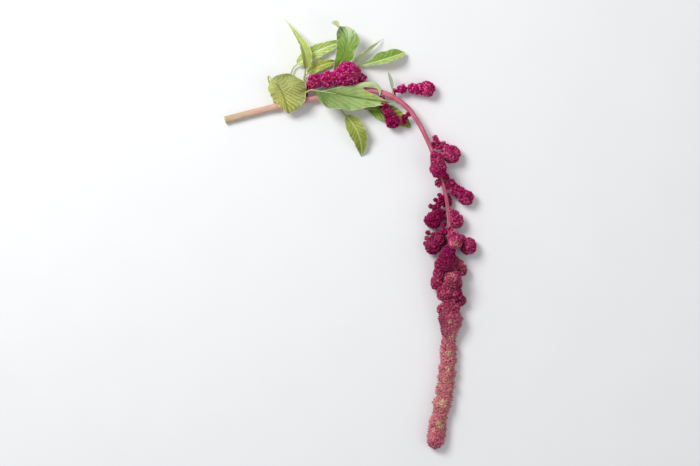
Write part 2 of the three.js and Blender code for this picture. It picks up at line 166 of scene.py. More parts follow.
def linear(code):
    """A hex colour as the linear numbers that the shaders take: each channel through the sRGB curve."""
    c = np.array([int(code[k:k + 2], 16) for k in (1, 3, 5)]) / 255
    return (*np.where(c <= 0.04045, c / 12.92, ((c + 0.055) / 1.055) ** 2.4), 1.0)


def new_material(name):
    """A named material, its tree of nodes and the shader that they feed."""
    material = bpy.data.materials.new(name)
    material.use_nodes = True
    tree = material.node_tree
    return material, tree, tree.nodes["Principled BSDF"]


def add(tree, kind, inputs=None, stops=None, **settings):
    """A node with its settings. An input is a value, a hex colour or the output of another node, and stops are
    the places and hex colours of a ramp."""
    node = tree.nodes.new("ShaderNode" + kind)
    for key, value in settings.items():
        setattr(node, key, value)
    if stops:
        ramp = node.color_ramp.elements
        for end, (place, colour) in zip((ramp[0], ramp[1]), (stops[0], stops[-1])):
            end.position = place
            end.color = linear(colour)
        for place, colour in stops[1:-1]:
            ramp.new(place).color = linear(colour)
    for key, value in (inputs or {}).items():
        if isinstance(value, bpy.types.NodeSocket):
            tree.links.new(value, node.inputs[key])
        elif isinstance(value, str):
            node.inputs[key].default_value = linear(value)
        else:
            node.inputs[key].default_value = value
    return node


def feed(tree, shader, **sources):
    """Links outputs to the shader's inputs, named with _ for a space."""
    for key, source in sources.items():
        tree.links.new(source, shader.inputs[key.replace("_", " ")])


def fleshy_stem():
    """Living amaranth stem: a smooth skin over wet tissue, so a soft satin. Rose pigment runs in fine streaks
    along the ribs, 0.6 mm apart and up to 20 mm long."""
    material, tree, shader = new_material("fleshy amaranth stem")
    place = add(tree, "Attribute", attribute_name="unbent").outputs["Vector"]
    share = add(tree, "Attribute", attribute_name="share").outputs["Fac"]
    cut = add(tree, "Attribute", attribute_name="cut").outputs["Fac"]
    length = add(tree, "ValToRGB", {"Fac": share}, stops=[
        (0.0, "#bfae82"), (0.1, "#d3ad96"), (0.26, "#d49098"), (0.4, "#cc6078"), (0.6, "#c05576"), (1.0, "#a84466"),
    ])
    drawn = add(tree, "Mapping", {"Vector": place, "Scale": (1.6, 1.6, 0.06)})
    streaks = add(tree, "TexNoise", {"Vector": drawn.outputs["Vector"], "Scale": 1.0, "Detail": 3.0, "Roughness": 0.6})
    red = add(tree, "MapRange", {"Value": streaks.outputs["Fac"], "From Min": 0.45, "From Max": 0.68, "To Max": 0.75})
    pale = add(tree, "MapRange", {"Value": streaks.outputs["Fac"], "From Min": 0.3, "From Max": 0.48,
                                  "To Min": 0.5, "To Max": 0.0})
    deep = add(tree, "ValToRGB", {"Fac": share}, stops=[(0.0, "#a8876a"), (0.2, "#b06a72"), (0.45, "#9c4560"),
                                                        (1.0, "#7e2446")])
    streaked = add(tree, "MixRGB", {"Fac": red.outputs[0], "Color1": length.outputs[0], "Color2": deep.outputs[0]})
    lit = add(tree, "MixRGB", {"Fac": pale.outputs[0], "Color1": streaked.outputs[0], "Color2": "#edc9c0"})
    pores = add(tree, "TexVoronoi", {"Vector": place, "Scale": 1.7})
    pith = add(tree, "ValToRGB", {"Fac": pores.outputs["Distance"]}, stops=[(0.0, "#8f9a5c"), (0.3, "#d6d6a8"),
                                                                           (1.0, "#e9e4c4")])
    whole = add(tree, "MixRGB", {"Fac": cut, "Color1": lit.outputs[0], "Color2": pith.outputs[0]})
    bump = add(tree, "Bump", {"Height": streaks.outputs["Fac"], "Strength": 0.35, "Distance": 0.0004})
    shader.inputs["Roughness"].default_value = 0.46
    shader.inputs["IOR"].default_value = 1.42
    shader.inputs["Subsurface Weight"].default_value = 0.12
    shader.inputs["Subsurface Radius"].default_value = (0.0025, 0.001, 0.0008)
    feed(tree, shader, Base_Color=whole.outputs[0], Normal=bump.outputs[0])
    return material


def stem_radius(line, distance):
    """Radius along the stem: from the cut radius to that of the arch in a straight line, then on down to the
    end radius. Where a leaf joins, a ridge rises in a straight line to each side of its joint."""
    arch = distance[np.argmin(np.linalg.norm(line[:, :2] - STEM_POINTS[ARCH_POINT, :2], axis=1))]
    stiff = np.minimum(1, distance / arch)
    trailing = np.maximum(0, (distance - arch) / (distance[-1] - arch))
    plain = (STEM_CUT_RADIUS + (STEM_ARCH_RADIUS - STEM_CUT_RADIUS) * stiff
             + (STEM_END_RADIUS - STEM_ARCH_RADIUS) * trailing)
    gaps = np.linalg.norm(line[None, :, :2] - np.array(list(LEAF_JOINTS.values()))[:, None], axis=2)
    joints = distance[gaps.argmin(axis=1)]
    near = np.abs(distance[:, None] - joints[None]).min(axis=1)
    return plain + JOINT_SWELLING * np.maximum(0, 1 - near / JOINT_REACH)


stem_line = smooth_line(STEM_POINTS, 1.0)
stem_distance = run_along(stem_line)
stem_thickness = stem_radius(stem_line, stem_distance)

# The ribs wind slowly round the stem. The unevenness is one wave along and round it times a longer one along it.
angle = np.linspace(0, 2 * np.pi, STEM_SIDES, endpoint=False)
ribs = RIB_HEIGHT * np.maximum(0, np.cos(RIB_COUNT * angle[None] + 0.012 * stem_distance[:, None])) ** 2
uneven = np.sin(0.55 * stem_distance[:, None] + 3 * angle[None]) * np.sin(0.23 * stem_distance[:, None])
corners, triangles, turn, far = tube(stem_line, stem_thickness[:, None] + ribs + UNEVENNESS * uneven, STEM_SIDES)
corners[:, 2] = np.maximum(corners[:, 2], LEAST_HEIGHT)

# unbent is a corner's place in the stem laid out straight, for streaks that follow it round the arch.
thick = np.interp(far, stem_distance, stem_thickness)
unbent = np.stack([thick * np.cos(turn), thick * np.sin(turn), far], axis=1)
unbent[-2:, :2] = 0
cut = (far < 0.5).astype(float)
grown_piece("stem", corners, triangles, fleshy_stem(), "stem", unbent=unbent, share=far / far.max(), cut=cut)


# Leaves. Ten leaves of the same plant, each a soft blade under half a millimetre thick on its own stalk. A blade
# is quilted between the side veins, waved at its edge and folded a little along the midrib, green and satin above,
# paler and matt beneath. The stalk is grooved along its top and grows from a swelling of the stem.

BLADE_START, BLADE_END = 0.004, 0.994
BLADE_THICKNESS = 0.4
TIP_TWIST_POWER = 6
NECK = 0.9
NECK_LENGTH = 0.07
QUILT_HEIGHT = 0.95
RUFFLE_SHARE = 0.35
MIDRIB_RADIUS = 0.9
MIDRIB_GROOVE = 0.35
MIDRIB_HEIGHT = 0.75
VEIN_HEIGHT = 0.12
STALK_RADIUS = 1.1
STALK_SIDES = 14
STALK_SINK = 0.5
STALK_TAPER = 0.8
LEAF_GRID = (76, 30)
LIP_GRID = (40, 12)

# midrib holds four control points. halves holds the width and the two powers of the left half, then of the right.
# turn is the lean in degrees at the foot and at the point, and may add a twist of the tip. fold is how many degrees
# each half stands up, cupped how many more at the neck, and wave the height of the waves. notch is a place along
# the right edge, a depth and a length. pairs is the number of pairs of side veins, slant how far they run forward,
# sway how far they stray, and the groove shade how dark the painted shade along them is. shaded is how dark the
# painted shade on the left and the right half is, each at the midrib and the rim, and foot_shade how much more at
# the foot. aged lists old places with their radius, and on leaf_05 a place of painted sheen, yellow unless another
# colour is given, and stalk is the stalk's thickness. colours are those of the upper face, of its darker green for
# patches and painted shade, of the underside and of the midrib.
LEAVES = {
    "leaf_01": dict(
        midrib=[[-150, 281, 5], [-143, 288, 8], [-133, 292, 7], [-118, 295, 0.5]],
        halves=[[5.6, 0.6, 0.8], [5.6, 0.6, 0.8]], turn=[-6, 8], fold=12, wave=1,
        slant=0.4, pairs=7, colours=["#bec856", "#8a9832", "#d2d890", "#ccd488"]),
    "leaf_02": dict(
        midrib=[[-161, 291, 6], [-150, 300, 11], [-133, 310, 9], [-111, 316, 0.6]],
        halves=[[7.4, 0.5, 0.7], [7.4, 0.5, 0.7]], turn=[-8, 10], fold=14, wave=1.2,
        groove_shade=1, slant=0.95, pairs=5, colours=["#c6d880", "#84a032", "#e6efc0", "#dfe9b4"]),
    "leaf_03": dict(
        midrib=[[-152, 286, 15], [-148, 302, 25], [-161, 319, 22], [-175, 341, 1.2]],
        halves=[[7.4, 0.5, 1.3], [7.4, 0.5, 1.3]], turn=[30, 60], fold=24, wave=0.8,
        aged=[[-174.5, 340, 5]], aged_and_sheen_colour="#746a48",
        slant=0.6, pairs=8, colours=["#cada74", "#98ac40", "#e4ecb4", "#d6e09a"]),
    "leaf_04": dict(
        midrib=[[-188, 275, 12], [-179, 269, 17], [-173, 254, 17], [-170, 238, 11]],
        halves=[[26, 1, 0.8], [12.5, 0.5, 0.8]], turn=[-4, 4], fold=8, wave=2,
        shaded=[0.05, 0.75, 0, 0.15], aged=[[-178, 246, 12]], groove_shade=0.95,
        slant=1.45, pairs=8, colours=["#bec670", "#686c20", "#dfe6ac", "#6e7a42"]),
    "leaf_05": dict(
        midrib=[[-122, 280, 9], [-110, 298, 22], [-98, 321, 28], [-125, 333, 20]],
        halves=[[10.5, 0.7, 0.45], [15, 2.2, 1.9]], turn=[8, -12, 172], fold=8, wave=1.8,
        cupped=24, notch=[0.47, 0.3, 0.08], shaded=[0.1, 0, 0.3, 0.1], foot_shade=0.9, sway=3.2, groove_shade=0.7,
        # The pale place near this leaf's point is a painted sheen, listed with the aged places.
        aged=[[-104, 330, 14]], aged_and_sheen_colour="#c9d9b4",
        slant=1.3, pairs=4, colours=["#8dae30", "#527a12", "#cbd8ab", "#759a34"]),
    "leaf_06": dict(
        midrib=[[-141, 262, 19], [-117, 259, 21], [-90, 252, 17], [-53, 249, 12]],
        halves=[[11.6, 2.4, 2.4], [18, 0.65, 1.5]], turn=[-14, -4], fold=10, wave=1.8,
        shaded=[0.2, 0, 0.1, 0], foot_shade=1.3, sway=2, groove_shade=0.45, aged=[[-85, 260, 5], [-56, 249.5, 6]],
        lip=dict(midrib=[[-108, 262.8, 18.6], [-90, 269.8, 21], [-69.5, 273.6, 20.6], [-74, 256, 15.8]],
                 halves=[[3.2, 0.5, 0.7], [3.2, 0.5, 0.7]], turn=[10, -10], fold=-30, wave=0.6, slant=0.4, pairs=6),
        slant=0.8, pairs=6, colours=["#b4cc80", "#5c782c", "#c4d0a4", "#526c28"]),
    "leaf_07": dict(
        midrib=[[-107, 287, 8], [-98, 299, 14], [-85, 308, 12], [-69, 319, 1]],
        halves=[[5, 0.45, 1.1], [5, 0.45, 1.1]], turn=[66, 62], fold=20, wave=0.8,
        slant=0.5, pairs=7, colours=["#d6e6ae", "#b2c67e", "#e2ebc6", "#dce7b8"]),
    "leaf_08": dict(
        midrib=[[-101, 288, 4], [-83, 291, 10], [-65, 296, 12], [-46, 304, 5]],
        halves=[[9.2, 1.9, 1], [8.6, 2.2, 0.9]], turn=[-32, -24], fold=28, wave=1.2,
        shaded=[1, 0.8, 0, 0], aged=[[-48, 303, 4]], groove_shade=0.6, stalk=1.7,
        slant=0.4, pairs=8, colours=["#b4ce6c", "#6c8e30", "#d4e0a4", "#ccdc98"]),
    "leaf_09": dict(
        midrib=[[-109, 236, 6], [-97, 224, 15], [-92, 210, 13], [-93, 193, 0.6]],
        halves=[[9.4, 0.55, 0.9], [9.4, 0.55, 0.9]], turn=[18, -10], fold=16, wave=1.4,
        slant=0.4, pairs=8, colours=["#98a444", "#6c7826", "#bcc47c", "#b4bd70"]),
    "leaf_10": dict(
        midrib=[[-86, 244, 3], [-69, 242, 5], [-53, 236, 4], [-40, 224, 0.4]],
        halves=[[9.4, 0.6, 0.8], [9.4, 0.6, 0.8]], turn=[4, -6], fold=8, wave=1,
        groove_shade=0.85, aged=[[-52, 238, 8]],
        slant=0.35, pairs=8, colours=["#8cb234", "#34520e", "#a8c060", "#92b04c"]),
}


def half_width(leaf, along, across):
    """The width of one half of the blade at a share of its length: one power of the way from the foot times another
    of the way left to the point, over the most that their product comes to. The left half is where across is over 0."""
    width, rise, fall = (np.where(across > 0, *pair) for pair in zip(*leaf["halves"]))
    most = rise**rise * fall**fall / (rise + fall) ** (rise + fall)
    return width * along**rise * (1 - along) ** fall / most


def blade_middle(leaf, along, across):
    """The middle of a blade at a share of its length and a share of its width, -1 to 1.
    The midrib is a cubic between its four control points. The two halves fold up from the midrib, by a bell curve
    more at the neck, and the whole turns about it, evenly from foot to point plus a twist that grows with a high
    power of the length. The edge waves up and down with the square of the distance from the midrib, and in and
    out a little."""
    foot, rise, fall, point = (np.array(p, float) for p in leaf["midrib"])
    t = along[:, None]
    place = (1 - t)**3 * foot + 3 * (1 - t)**2 * t * rise + 3 * (1 - t) * t**2 * fall + t**3 * point
    tangent = (1 - t)**2 * (rise - foot) + 2 * (1 - t) * t * (fall - rise) + t**2 * (point - fall)
    tangent /= np.linalg.norm(tangent, axis=1, keepdims=True)
    side = np.cross([0.0, 0, 1], tangent)
    side /= np.linalg.norm(side, axis=1, keepdims=True)
    up = np.cross(tangent, side)
    at_foot, at_point, twist = (leaf["turn"] + [0])[:3]
    turn = np.radians(at_foot + (at_point - at_foot) * along + twist * along**TIP_TWIST_POWER)
    fold = np.radians(leaf["fold"] + leaf.get("cupped", 0) * np.exp(-(((along - NECK) / NECK_LENGTH) ** 2)))
    half = half_width(leaf, along, across)
    widest = leaf["halves"][0][0] + leaf["halves"][1][0]
    wave = leaf["wave"] * across**2 * np.sin(16 * along + np.where(across > 0, 0, 2)) * half / widest
    half = half * (1 + 0.04 * np.sin(21 * along + 3 * np.sign(across)) * np.abs(across) - notched(leaf, along, across))
    reach = half * across * np.cos(fold)
    lift = half * np.abs(across) * np.sin(fold) + 2 * wave
    place = place + side * (reach * np.cos(turn) - lift * np.sin(turn))[:, None]
    return place + up * (reach * np.sin(turn) + lift * np.cos(turn))[:, None]


def notched(leaf, along, across):
    """The share of its width that the right half loses in a soft notch: a bell curve about one place."""
    where, depth, length = leaf.get("notch", [0.5, 0, 1])
    return depth * np.exp(-((along - where) / length) ** 2) * (across < 0)


def vein_count(leaf, along, across):
    """How many side veins lie between the foot and a point of the blade. Whole numbers are on a vein, and a vein
    leaves the midrib and runs forward as it nears the edge, by less towards the point. Two sines make it sway."""
    sway = leaf.get("sway", 1) * (0.09 * np.sin(19 * along + 7 * across) + 0.06 * np.sin(31 * along - 11 * across))
    return leaf["pairs"] * (along - leaf["slant"] * np.abs(across) ** 0.8 * (1.15 - along)) + sway * np.abs(across)


def blade(leaf, rows, columns):
    """A closed blade: a grid above and the same grid below, set off from the middle along its normal by half the
    thickness, and a strip round the edge. Between two side veins both faces swell up by up to 1 mm, as a low power
    of the sine of the vein count, and short ruffles grow with the fourth power of the distance from the midrib.
    Above, the midrib is a groove. Beneath, it and the side veins stand out."""
    along, across = np.meshgrid(np.linspace(BLADE_START, BLADE_END, rows + 1),
                                np.sin(np.linspace(-1, 1, columns + 1) * np.pi / 2), indexing="ij")
    along, across = along.ravel(), across.ravel()
    nudge = 0.004
    inner = np.clip(along, 2 * nudge, 1 - 2 * nudge)
    ahead = blade_middle(leaf, inner + nudge, across) - blade_middle(leaf, inner - nudge, across)
    sideways = blade_middle(leaf, inner, across + nudge) - blade_middle(leaf, inner, across - nudge)
    normal = np.cross(ahead, sideways)
    normal /= np.linalg.norm(normal, axis=1, keepdims=True)
    half = half_width(leaf, along, across)
    count = vein_count(leaf, along, across)
    between = np.abs(np.sin(np.pi * count))
    room = np.clip(half / 9, 0.15, 1) * np.clip(1.05 - np.abs(across), 0, 1) ** 0.5 * np.clip(np.abs(across) * 4, 0, 1)
    quilt = QUILT_HEIGHT * (between**0.6 - 0.5) * room
    ruffle = leaf["wave"] * RUFFLE_SHARE * np.abs(across) ** 4 * np.sin(47 * along + 5 * np.sign(across))
    ruffle = ruffle * np.clip(half / 6, 0, 1)
    rib = np.exp(-((across * half / MIDRIB_RADIUS) ** 2))
    middle = blade_middle(leaf, along, across) + normal * (quilt + ruffle)[:, None]
    thin = BLADE_THICKNESS / 2 * np.clip(1.4 - np.abs(across), 0.4, 1)
    above = middle + normal * (thin - MIDRIB_GROOVE * rib)[:, None]
    below = middle - normal * (thin + MIDRIB_HEIGHT * rib * (1.1 - along) + VEIN_HEIGHT * (1 - between) ** 6)[:, None]
    wide = columns + 1
    i, j = np.meshgrid(np.arange(rows), np.arange(columns), indexing="ij")
    a = (i * wide + j).ravel()
    top = np.vstack([np.stack([a, a + wide, a + 1], 1), np.stack([a + 1, a + wide, a + wide + 1], 1)])
    bottom = top[:, ::-1] + len(along)
    edge = np.concatenate([np.arange(columns), np.arange(rows) * wide + columns,
                           rows * wide + np.arange(columns, 0, -1), np.arange(rows, 0, -1) * wide])
    ahead_of = np.roll(edge, -1)
    rim = np.vstack([np.stack([edge, ahead_of, ahead_of + len(along)], 1),
                     np.stack([edge, ahead_of + len(along), edge + len(along)], 1)])
    corners = np.vstack([above, below])
    near, far, right_near, right_far = leaf.get("shaded", [0, 0, 0, 0])
    shaded = np.where(across > 0, near + (far - near) * across, right_near + (right_near - right_far) * across)
    marks = dict(
        leafplace=np.tile(np.stack([(1 - np.abs(across)) * half / 10, np.abs(across) * half / 10, count], 1), (2, 1)),
        under=np.repeat([0.0, 1.0], len(along)),
        shaded=np.tile(shaded + leaf.get("foot_shade", 0) * (1 - along) ** 2, 2),
        # aged marks old places and, where a leaf lists one in a pale colour, a painted sheen.
        aged=sum([np.exp(-((corners[:, 0] - x) ** 2 + (corners[:, 1] - y) ** 2) / r**2)
                  for x, y, r in leaf.get("aged", [])], np.zeros(len(corners))),
    )
    return corners, np.vstack([top, bottom, rim]), marks


def nearest_on_stem(joint):
    """The row of the stem's line that lies nearest to a place seen from above."""
    return int(np.argmin(np.linalg.norm(stem_line[:, :2] - np.array(joint), axis=1)))


def stalk(leaf, joint, thickness):
    """A leaf stalk from the middle of the stem to the blade's foot and on under its midrib. It is thickest at the
    stem and thins out evenly, then tapers to its end. It has a groove along its top, where the radius is less by
    up to a fifth, in a bell curve of the angle."""
    foot = np.array(leaf["midrib"][0], float)
    into, on = blade_middle(leaf, np.array([0.16, 0.42]), np.zeros(2))
    before = foot - 5 * (into - foot) / np.linalg.norm(into - foot)
    line = smooth_line([stem_line[nearest_on_stem(joint)], before, foot, into, on], 1.2)
    share = run_along(line)
    share = share / share[-1]
    angle = np.linspace(0, 2 * np.pi, STALK_SIDES, endpoint=False)
    base = thickness * STALK_RADIUS * (1 - 0.45 * share) * (1 + 0.5 * np.exp(-(share / 0.12) ** 2))
    base = base * (1 - 0.7 * np.clip((share - STALK_TAPER) / (1 - STALK_TAPER), 0, 1))
    grooved = base[:, None] * (1 - 0.2 * np.exp(-(((angle - np.pi / 2) / 0.45) ** 2)))[None]
    line = line - np.array([0, 0, STALK_SINK]) * np.clip(share * 3 - 1, 0, 1)[:, None]
    corners, triangles, _, far = tube(line, grooved, STALK_SIDES)
    return corners, triangles, far / far.max()


def living_leaf(name, leaf):
    """Soft green leaf: a waxy skin over thin tissue that lets light through, so satin above and paler and matt
    beneath, with darker patches 14 mm wide. Painted shade darkens the upper face for 2 to 3 mm along each side
    vein, where it lies in a groove, and wherever the shaded mark says. The rim is pale for 0.8 mm, a net of fine
    veins 2.5 mm across lies between the side veins, and aged places are yellow or brown, while the same mark in a
    pale colour paints a sheen where light catches the blade. The stalk is straw pale at the stem and takes the
    underside's green towards the blade."""
    green, deep, beneath, rib = leaf["colours"]
    material, tree, shader = new_material(name)
    spot = add(tree, "Attribute", attribute_name="leafplace").outputs["Vector"]
    under = add(tree, "Attribute", attribute_name="under").outputs["Fac"]
    shaded = add(tree, "Attribute", attribute_name="shaded").outputs["Fac"]
    aged = add(tree, "Attribute", attribute_name="aged").outputs["Fac"]
    stalked = add(tree, "Attribute", attribute_name="stalked").outputs["Fac"]
    apart = add(tree, "SeparateXYZ", {"Vector": spot})
    place = add(tree, "TexCoord").outputs["Object"]
    patches = add(tree, "TexNoise", {"Vector": place, "Scale": 70.0, "Detail": 4.0, "Roughness": 0.62})
    shade = add(tree, "MapRange", {"Value": patches.outputs["Fac"], "From Min": 0.35, "From Max": 0.7, "To Max": 0.8})
    darker = add(tree, "Math", {0: shade.outputs[0], 1: shaded}, operation="MAXIMUM")
    upper = add(tree, "MixRGB", {"Fac": darker.outputs[0], "Color1": green, "Color2": deep})
    lower = add(tree, "MixRGB", {"Fac": shade.outputs[0], "Color1": beneath, "Color2": green})
    faced = add(tree, "MixRGB", {"Fac": under, "Color1": upper.outputs[0], "Color2": lower.outputs[0]})
    # The aged mark paints yellow or brown old places, and a pale painted sheen where the leaf lists one.
    old = add(tree, "Math", {0: aged, 1: 0.8}, operation="MULTIPLY", use_clamp=True)
    colour = add(tree, "MixRGB", {"Fac": old.outputs[0], "Color1": faced.outputs[0],
                                  "Color2": leaf.get("aged_and_sheen_colour", "#bdb850")}).outputs[0]
    net = add(tree, "TexVoronoi", {"Vector": place, "Scale": 400.0}, feature="DISTANCE_TO_EDGE")
    netted = add(tree, "MapRange", {"Value": net.outputs["Distance"], "From Min": 0.0, "From Max": 0.14,
                                    "To Min": 0.2, "To Max": 0.0})
    colour = add(tree, "MixRGB", {"Fac": netted.outputs[0], "Color1": colour, "Color2": beneath}).outputs[0]
    if leaf["slant"] > 0:
        above = add(tree, "Math", {0: 1.0, 1: under}, operation="SUBTRACT").outputs[0]
        from_vein = add(tree, "Math", {0: apart.outputs["Z"], 1: 0.5}, operation="PINGPONG").outputs[0]
        # Painted shade: the upper face darkens along each side vein, where it lies in a groove.
        groove = add(tree, "MapRange", {"Value": from_vein, "From Min": 0.02, "From Max": 0.17,
                                        "To Min": leaf.get("groove_shade", 0.7), "To Max": 0.0}).outputs[0]
        groove = add(tree, "Math", {0: groove, 1: above}, operation="MULTIPLY").outputs[0]
        colour = add(tree, "MixRGB", {"Fac": groove, "Color1": colour, "Color2": deep}).outputs[0]
        ridge = add(tree, "MapRange", {"Value": from_vein, "From Min": 0.0, "From Max": 0.06,
                                       "To Min": 0.6, "To Max": 0.0}).outputs[0]
        ridge = add(tree, "Math", {0: ridge, 1: under}, operation="MULTIPLY").outputs[0]
        colour = add(tree, "MixRGB", {"Fac": ridge, "Color1": colour, "Color2": beneath}).outputs[0]
    rib_colour = add(tree, "MixRGB", {"Fac": under, "Color1": rib, "Color2": beneath})
    on_rib = add(tree, "MapRange", {"Value": apart.outputs["Y"], "From Min": 0.04, "From Max": 0.13,
                                    "To Min": 0.8, "To Max": 0.0})
    colour = add(tree, "MixRGB", {"Fac": on_rib.outputs[0], "Color1": colour,
                                  "Color2": rib_colour.outputs[0]}).outputs[0]
    rim = add(tree, "MapRange", {"Value": apart.outputs["X"], "From Min": 0.02, "From Max": 0.08,
                                 "To Min": 0.75, "To Max": 0.0})
    colour = add(tree, "MixRGB", {"Fac": rim.outputs[0], "Color1": colour, "Color2": beneath}).outputs[0]
    straw = add(tree, "ValToRGB", {"Fac": stalked}, stops=[(0.0, "#b9a878"), (0.5, "#a9ad6a"), (1.0, beneath)])
    is_stalk = add(tree, "Attribute", attribute_name="stalk").outputs["Fac"]
    whole = add(tree, "MixRGB", {"Fac": is_stalk, "Color1": colour, "Color2": straw.outputs[0]})
    gloss = add(tree, "MapRange", {"Value": under, "To Min": 0.44, "To Max": 0.7})
    bump = add(tree, "Bump", {"Height": net.outputs["Distance"], "Strength": 0.25, "Distance": 0.0003})
    shader.inputs["IOR"].default_value = 1.42
    shader.inputs["Specular IOR Level"].default_value = 0.35
    shader.inputs["Subsurface Weight"].default_value = 0.2
    shader.inputs["Subsurface Radius"].default_value = (0.0012, 0.0018, 0.0005)
    feed(tree, shader, Base_Color=whole.outputs[0], Roughness=gloss.outputs[0], Normal=bump.outputs[0])
    return material


def grow_leaf(name, leaf, material, grid, thickness):
    """A blade and its stalk in one mesh, with the marks that tell them apart. A lip is a margin that has curled
    over, so its upper side shows most of the underside's colour."""
    corners, triangles, marks = blade(leaf, *grid)
    if "lip" in leaf:
        lip_corners, lip_triangles, lip_marks = blade(leaf["lip"], *LIP_GRID)
        lip_marks["under"] = 0.85 * (1 - lip_marks["under"])
        corners, triangles = joined([(corners, triangles), (lip_corners, lip_triangles)])
        marks = {key: np.concatenate([marks[key], lip_marks[key]]) for key in marks}
    stalk_corners, stalk_triangles, far = stalk(leaf, LEAF_JOINTS[name], thickness)
    both, faces = joined([(corners, triangles), (stalk_corners, stalk_triangles)])
    both[:, 2] = np.maximum(both[:, 2], LEAST_HEIGHT)
    blank = np.zeros(len(stalk_corners))
    grown_piece(
        name, both, faces, material, "leaf",
        leafplace=np.vstack([marks["leafplace"], np.full((len(blank), 3), 0.5)]),
        **{key: np.concatenate([marks[key], blank]) for key in ("under", "shaded", "aged")},
        stalk=np.concatenate([np.zeros(len(corners)), blank + 1]),
        stalked=np.concatenate([np.zeros(len(corners)), far]),
    )


for name, leaf in LEAVES.items():
    grow_leaf(name, leaf, living_leaf("living leaf, " + name, leaf), LEAF_GRID, leaf.get("stalk", 1))


# Bract. A narrow grey green leaf without side veins, 22 mm long, that grows from the arch beside the first
# flower spike. Its skin is dull.

BRACT = dict(midrib=[[-60, 263, 16], [-61, 270, 19], [-63, 277, 17], [-64.5, 283, 10]],
             halves=[[2.5, 0.7, 0.8], [2.5, 0.7, 0.8]], turn=[30, 40], fold=10, wave=0, slant=0, pairs=1,
             colours=["#a8b09c", "#8a9480", "#c8cec0", "#bcc4b2"])
grow_leaf("bract_01", BRACT, living_leaf("living bract", BRACT), (30, 8), 0.6)


# Tassel. The long end spike of the seed head: small clusters of flowers round the end of the stem, each cluster
# packed with flowers 2 mm wide among long bracts. It has faded to a dusty rose, with cream patches where seed is
# ripe.

FLOWER_SPACING = 1.65
FLOWER_RADIUS = 0.76 * FLOWER_SPACING
KNOB_SPACING = 2.9
KNOB_RADIUS = (1.15, 1.55)
KNOB_DEPTH = 1.1
LONG_BRACT = 1.38
BRISTLE = 2.1
CORE_SIDES = 18
CORE_LEAST_HEIGHT = 0.3
TASSEL_CORE_DEPTH = 0.9
TASSEL_CORE_MOST = 7
TASSEL_POINTS = [
    [1, 22, 9.6],
    [0, 0, 6.3],
    [-1, -18, 6.4],
    [-2.5, -36, 6.4],
    [-3.6, -54, 6.4],
    [-7, -70, 6.4],
    [-10.5, -86, 6.4],
    [-14.5, -108, 6.4],
]
TASSEL_CORE_END = [-15.5, -113.4, 6.4]
TASSEL_END_RADIUS = 7.2
BEAD_STEP = 4.2

# The tassel's radii, each after its distance along the line. The shoulders are three clusters at its foot, given
# as centre and radius, and the ripe spots are x, y and radius.
TASSEL_RADII = np.array([
    [0, 9.8], [8, 8.4], [21, 5.2], [35, 6.8], [48, 6.8], [53, 5.8], [60, 7.3], [68, 5.6],
    [74, 6.8], [81.5, 6.1], [92, 7.8], [106.5, 5.8], [113, 7.3], [119, 6.6], [126, 7.8], [131, 7.2],
]).T
SHOULDERS = [[-5, 20.6, 9.6, 5.2], [7.8, 20.2, 9, 5], [1, 12, 10, 6.8]]
RIPE_SPOTS = [
    [0, 19, 4], [1, 1, 5], [-1.6, -15.4, 4.6], [-1.6, -32.5, 5], [-3.2, -43, 4.4], [-7.5, -67, 6], [-10, -91, 7.4],
]


def flower_shape():
    """One flower with five pointed petals, closed, from its sunk base to the bud in its middle: a ring of five
    points and five notches between the base and the bud. Also gives how far out each corner is."""
    point, notch = np.arange(5) * 2 * np.pi / 5, (np.arange(5) + 0.5) * 2 * np.pi / 5
    ring = np.empty((10, 3))
    ring[0::2] = np.stack([0.92 * np.cos(point), 0.92 * np.sin(point), np.full(5, 0.62)], 1)
    ring[1::2] = np.stack([0.6 * np.cos(notch), 0.6 * np.sin(notch), np.full(5, -0.1)], 1)
    corners = np.vstack([[0, 0, -1.1], ring, [0, 0, 0.4]])
    k = np.arange(10)
    triangles = np.vstack([
        np.stack([np.zeros(10, int), 1 + (k + 1) % 10, 1 + k], 1),
        np.stack([1 + k, 1 + (k + 1) % 10, np.full(10, 11)], 1),
    ])
    out = np.concatenate([[0], np.tile([1.0, 0.3], 5), [0.6]])
    return corners, triangles, out


FLOWER = flower_shape()


def spiral_directions(count, rng):
    """Evenly spread directions, turned at random: equal steps of height, and the golden angle to the next."""
    k = np.arange(count) + 0.5
    height = 1 - 2 * k / count
    turn = np.pi * (1 + 5**0.5) * k
    level = np.sqrt(1 - height**2)
    even = np.stack([level * np.cos(turn), level * np.sin(turn), height], axis=1)
    return even @ np.linalg.qr(rng.normal(size=(3, 3)))[0]


def over_balls(balls, spacing, rng):
    """Places spread evenly over round balls, given as rows of centre and radius. Each has its ball's area over
    that of one place. Gives the direction of each place from its ball's centre, and the number of its ball."""
    counts = np.maximum(5, (4 * np.pi * balls[:, 3] ** 2 / (0.87 * spacing**2)).astype(int))
    facing = np.vstack([spiral_directions(n, rng) for n in counts])
    return facing, np.repeat(np.arange(len(balls)), counts)


def outside(places, balls, own, share):
    """True where a place lies outside a share of the radius of every ball but its own."""
    gaps = np.linalg.norm(places[:, None] - balls[None, :, :3], axis=2) - share * balls[None, :, 3]
    if own is not None:
        gaps[np.arange(len(own)), own] = 1
    return gaps.min(axis=1) > 0


